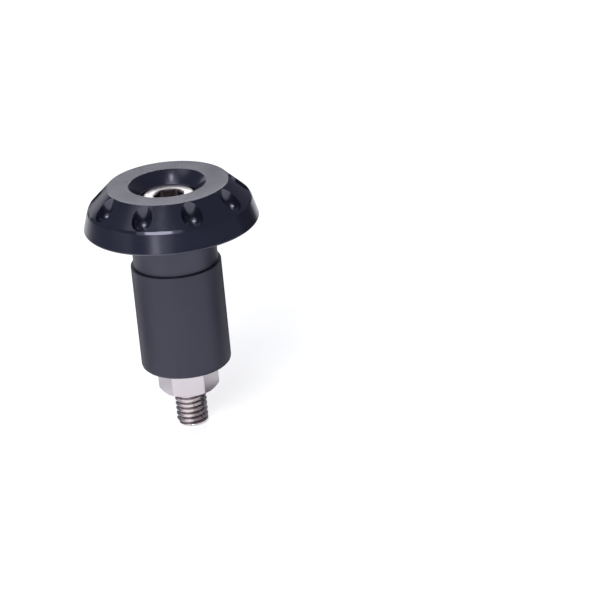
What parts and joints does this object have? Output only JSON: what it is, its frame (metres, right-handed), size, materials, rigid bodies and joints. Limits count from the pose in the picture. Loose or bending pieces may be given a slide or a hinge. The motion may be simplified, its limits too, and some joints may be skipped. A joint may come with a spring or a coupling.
{
  "type": "motorcycle bar end weight",
  "caption": "Mushroom-shaped bar end weight for a motorcycle handlebar, with a dimpled cone, a dished face and a rubber expander sleeve drawn up by a through screw and nut.",
  "frame": {"origin": "centre of the head's back face, which meets the end of the handlebar", "axes": "+Z along the turned axis, from the handlebar outwards through the face; the nut's flats face +Y and -Y"},
  "size_m": [0.0324, 0.0324, 0.0482],
  "materials": {
    "anodised_aluminium": "glossy black anodised",
    "screw_steel": "bright, cold headed with a rolled thread",
    "black_rubber": "matte moulded rubber",
    "nut_steel": "satin, pale"
  },
  "bodies": {
    "root": {"head": "anodised_aluminium", "socket_screw": "screw_steel", "rubber_sleeve": "black_rubber", "hex_nut": "nut_steel"}
  },
  "joints": []
}
